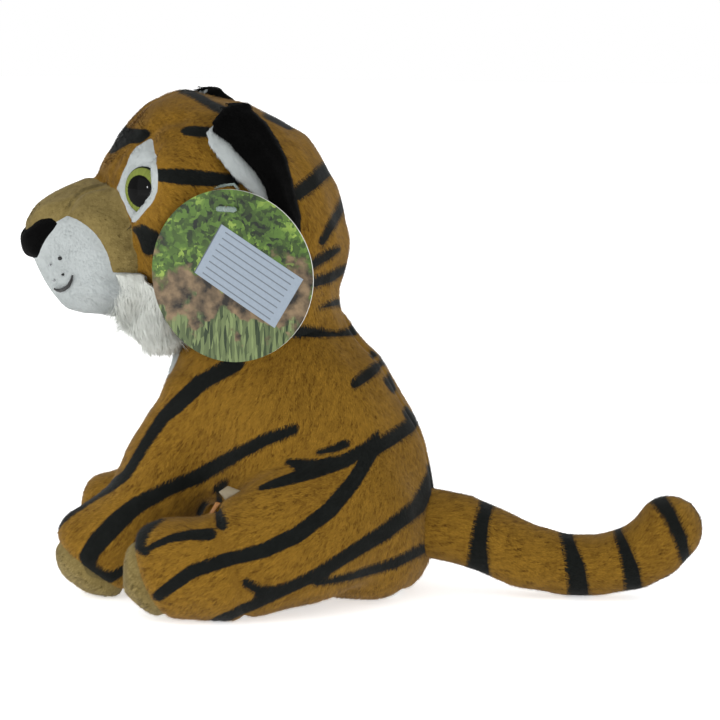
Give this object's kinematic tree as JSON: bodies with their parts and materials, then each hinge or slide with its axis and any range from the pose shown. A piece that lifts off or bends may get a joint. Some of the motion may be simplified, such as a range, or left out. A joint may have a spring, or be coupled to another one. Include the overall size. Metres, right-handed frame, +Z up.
{
  "type": "plush tiger",
  "caption": "Sitting stuffed plush tiger with black stripes, domed eyes, white snout, cupped ears, curled tail and a round hang tag.",
  "frame": {"origin": "middle of the flat face that the seat rests on, on the tiger's middle plane", "axes": "-X is where the torso faces, -Y is the tiger's left side and +Z is up; at rest the head is turned to its left"},
  "size_m": [0.3148, 0.1772, 0.2365],
  "materials": {
    "gold_plush": "short-pile plush with black printed stripes",
    "white_plush": "short-pile plush",
    "tan_plush": "short-pile plush",
    "black_plush": "short-pile plush",
    "beard_pile": "long-pile plush",
    "stuffing": "loose fibre",
    "pellets": "bag of plastic pellets",
    "satin": "woven satin ribbon",
    "eye_plastic": "clear dome over a green iris and black pupil",
    "washer_plastic": "matte",
    "clear_plastic": "clear, flexible",
    "tag_card": "gloss-laminated card",
    "sticker_paper": "paper"
  },
  "bodies": {
    "torso": {"side_panel_left": "gold_plush", "side_panel_right": "gold_plush", "chest_belly_panel": "white_plush", "body_filling": "stuffing", "pellet_bag": "pellets", "care_label": "satin"},
    "head": {"head_side_left": "gold_plush", "head_side_right": "gold_plush", "head_filling": "stuffing", "muzzle_bridge": "tan_plush", "muzzle_cheek_left": "tan_plush", "muzzle_cheek_right": "tan_plush", "muzzle_white_left": "white_plush", "muzzle_white_right": "white_plush", "chin_panel": "white_plush", "chin_beard": "beard_pile", "nose": "black_plush", "eye_patch_left": "white_plush", "eye_patch_right": "white_plush", "eye_left": "eye_plastic", "eye_right": "eye_plastic", "eye_washer_left": "washer_plastic", "eye_washer_right": "washer_plastic", "tag_pin": "clear_plastic"},
    "ear_left": {"ear_back_left": "black_plush", "ear_lining_left": "white_plush"},
    "ear_right": {"ear_back_right": "black_plush", "ear_lining_right": "white_plush"},
    "tail": {"tail_skin": "gold_plush", "tail_filling": "stuffing"},
    "hang_tag": {"hang_tag": "tag_card", "tag_sticker": "sticker_paper"},
    "front_leg_left": {"front_leg_skin_left": "gold_plush", "front_leg_sole_left": "tan_plush", "front_leg_filling_left": "stuffing"},
    "hind_leg_left": {"hind_leg_skin_left": "gold_plush", "hind_leg_sole_left": "tan_plush", "hind_leg_filling_left": "stuffing"},
    "front_leg_right": {"front_leg_skin_right": "gold_plush", "front_leg_sole_right": "tan_plush", "front_leg_filling_right": "stuffing"},
    "hind_leg_right": {"hind_leg_skin_right": "gold_plush", "hind_leg_sole_right": "tan_plush", "hind_leg_filling_right": "stuffing"}
  },
  "joints": [
    {"name": "head_turn", "type": "hinge", "parent": "torso", "child": "head", "pos_m": [-0.045, 0, 0.124], "axis": [0, 0, 1], "range_deg": [-46, 14], "stiffness_Nm_per_rad": 0.05},
    {"name": "ear_left_fold", "type": "hinge", "parent": "head", "child": "ear_left", "pos_m": [-0.05714, -0.03552, 0.23144], "axis": [-0.4602, 0.2379, 0.8554], "range_deg": [-10, 15], "stiffness_Nm_per_rad": 0.01},
    {"name": "ear_right_fold", "type": "hinge", "parent": "head", "child": "ear_right", "pos_m": [-0.07613, 0.0244, 0.22975], "axis": [0.2487, 0.4159, -0.8747], "range_deg": [-10, 15], "stiffness_Nm_per_rad": 0.01},
    {"name": "front_leg_left_lift", "type": "hinge", "parent": "torso", "child": "front_leg_left", "pos_m": [-0.07996, -0.027, 0.09598], "axis": [0, 1, 0], "range_deg": [0, 20], "stiffness_Nm_per_rad": 0.04},
    {"name": "front_leg_right_lift", "type": "hinge", "parent": "torso", "child": "front_leg_right", "pos_m": [-0.07996, 0.027, 0.09598], "axis": [0, 1, 0], "range_deg": [0, 20], "stiffness_Nm_per_rad": 0.04},
    {"name": "hind_leg_left_lift", "type": "hinge", "parent": "torso", "child": "hind_leg_left", "pos_m": [0.00503, -0.045, 0.04005], "axis": [0, 1, 0], "range_deg": [0, 15], "stiffness_Nm_per_rad": 0.06},
    {"name": "hind_leg_right_lift", "type": "hinge", "parent": "torso", "child": "hind_leg_right", "pos_m": [0.00503, 0.045, 0.04005], "axis": [0, 1, 0], "range_deg": [0, 15], "stiffness_Nm_per_rad": 0.06},
    {"name": "tail_swing", "type": "hinge", "parent": "torso", "child": "tail", "pos_m": [0.03097, 0, 0.03], "axis": [0, 0, 1], "range_deg": [-30, 30], "stiffness_Nm_per_rad": 0.03},
    {"name": "hang_tag_swing", "type": "hinge", "parent": "head", "child": "hang_tag", "pos_m": [-0.05081, -0.07274, 0.18891], "axis": [-0.2079, -0.9781, 0], "range_deg": [-25, 25]}
  ]
}
